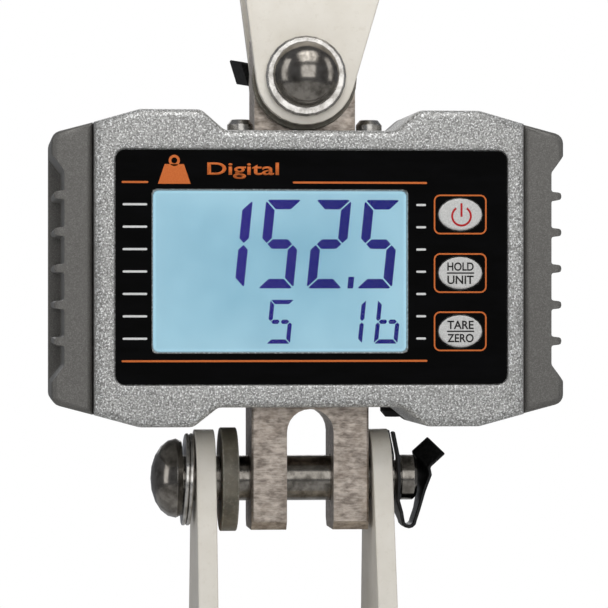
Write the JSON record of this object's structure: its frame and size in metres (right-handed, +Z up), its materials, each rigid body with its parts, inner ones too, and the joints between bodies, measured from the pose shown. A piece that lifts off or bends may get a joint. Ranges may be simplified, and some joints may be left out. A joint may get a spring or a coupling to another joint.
{
  "type": "crane scale",
  "caption": "Digital crane scale: die-cast housing with a backlit display and keys, hung by a load cell between two tapered plate yokes on clevis pins.",
  "frame": {"origin": "centre of the bolt hole on the top face of the upper yoke's bridge, where the scale hangs", "axes": "+X to the right seen from the display side, +Y from the display towards the back, +Z up"},
  "size_m": [0.1556, 0.0732, 0.2568],
  "materials": {
    "yoke_paint": "cream powder coat with rounded edges",
    "cell_steel": "milled and brushed alloy steel",
    "case_paint": "coarse silver sparkle paint on a die casting",
    "cap_paint": "fine grey textured paint on a die casting",
    "black_rubber": "matte black rubber",
    "panel_film": "gloss black printed film",
    "display_lens": "clear window",
    "display_glass": "backlit pale blue display glass",
    "diffuser": "white light guide",
    "board": "green solder mask",
    "key_face": "light grey printed key cap",
    "black_plastic": "black moulded plastic",
    "cell_wrap": "shrink-wrapped battery cell",
    "lead_jacket": "black insulated lead",
    "pin_steel": "dark polished steel",
    "washer_steel": "polished steel washer",
    "nylon": "grey nylon disc",
    "spring_steel": "black oxide spring steel",
    "screw_steel": "plated steel screw"
  },
  "bodies": {
    "upper_yoke": {"upper_yoke": "yoke_paint"},
    "scale_body": {"load_cell": "cell_steel", "front_case": "case_paint", "rear_case": "cap_paint", "side_cap_left": "cap_paint", "side_cap_right": "cap_paint", "case_gasket": "black_rubber", "upper_seal": "black_rubber", "lower_seal": "black_rubber", "panel_overlay": "panel_film", "lcd_lens": "display_lens", "lcd_glass": "display_glass", "backlight": "diffuser", "main_board": "board", "battery_tray": "black_plastic", "battery_cell_1": "cell_wrap", "battery_cell_2": "cell_wrap", "battery_cell_3": "cell_wrap", "battery_cell_4": "cell_wrap", "charging_socket": "black_plastic", "sensor_lead": "lead_jacket", "battery_lead": "lead_jacket", "top_screw_left": "screw_steel", "top_screw_right": "screw_steel", "rear_screw_upper_left": "screw_steel", "cap_screw_upper_left": "screw_steel", "rear_screw_upper_right": "screw_steel", "cap_screw_upper_right": "screw_steel", "rear_screw_lower_left": "screw_steel", "cap_screw_lower_left": "screw_steel", "rear_screw_lower_right": "screw_steel", "cap_screw_lower_right": "screw_steel"},
    "lower_yoke": {"lower_yoke": "yoke_paint"},
    "top_pin_set": {"top_pin": "pin_steel", "top_washer": "washer_steel", "top_spacer": "nylon", "top_rear_spacer": "nylon", "top_rear_washer": "washer_steel", "top_clip": "spring_steel"},
    "bottom_pin_set": {"bottom_pin": "pin_steel", "bottom_washer_inner": "washer_steel", "bottom_washer_outer": "washer_steel", "bottom_spacer": "nylon", "bottom_clip": "spring_steel"},
    "key_power": {"key_power": "key_face"},
    "key_hold": {"key_hold": "key_face"},
    "key_tare": {"key_tare": "key_face"},
    "battery_door": {"battery_door": "black_plastic"},
    "socket_plug": {"socket_plug": "black_rubber"}
  },
  "joints": [
    {"name": "top_swing", "type": "hinge", "parent": "upper_yoke", "child": "scale_body", "pos_m": [-0.00509, 0.00207, -0.0658], "axis": [0.0436, 0.999, 0], "range_deg": [-55, 55]},
    {"name": "top_pin_spin", "type": "hinge", "parent": "upper_yoke", "child": "top_pin_set", "pos_m": [-0.00509, 0.00207, -0.0658], "axis": [0.0436, 0.999, 0], "continuous": true},
    {"name": "lower_swing", "type": "hinge", "parent": "scale_body", "child": "lower_yoke", "pos_m": [-0.00509, 0.00207, -0.1887], "axis": [1, 0, 0], "range_deg": [-60, 60]},
    {"name": "bottom_pin_spin", "type": "hinge", "parent": "scale_body", "child": "bottom_pin_set", "pos_m": [-0.00509, 0.00207, -0.1887], "axis": [1, 0, 0], "continuous": true},
    {"name": "key_power_press", "type": "slide", "parent": "scale_body", "child": "key_power", "axis": [0, 1, 0], "range_m": [0, 0.0005], "stiffness_N_per_m": 2500},
    {"name": "key_hold_press", "type": "slide", "parent": "scale_body", "child": "key_hold", "axis": [0, 1, 0], "range_m": [0, 0.0005], "stiffness_N_per_m": 2500},
    {"name": "key_tare_press", "type": "slide", "parent": "scale_body", "child": "key_tare", "axis": [0, 1, 0], "range_m": [0, 0.0005], "stiffness_N_per_m": 2500},
    {"name": "battery_door_lift", "type": "slide", "parent": "scale_body", "child": "battery_door", "axis": [0, 1, 0], "range_m": [0, 0.03]},
    {"name": "socket_plug_pull", "type": "slide", "parent": "scale_body", "child": "socket_plug", "axis": [0, 0, -1], "range_m": [0, 0.006]}
  ]
}
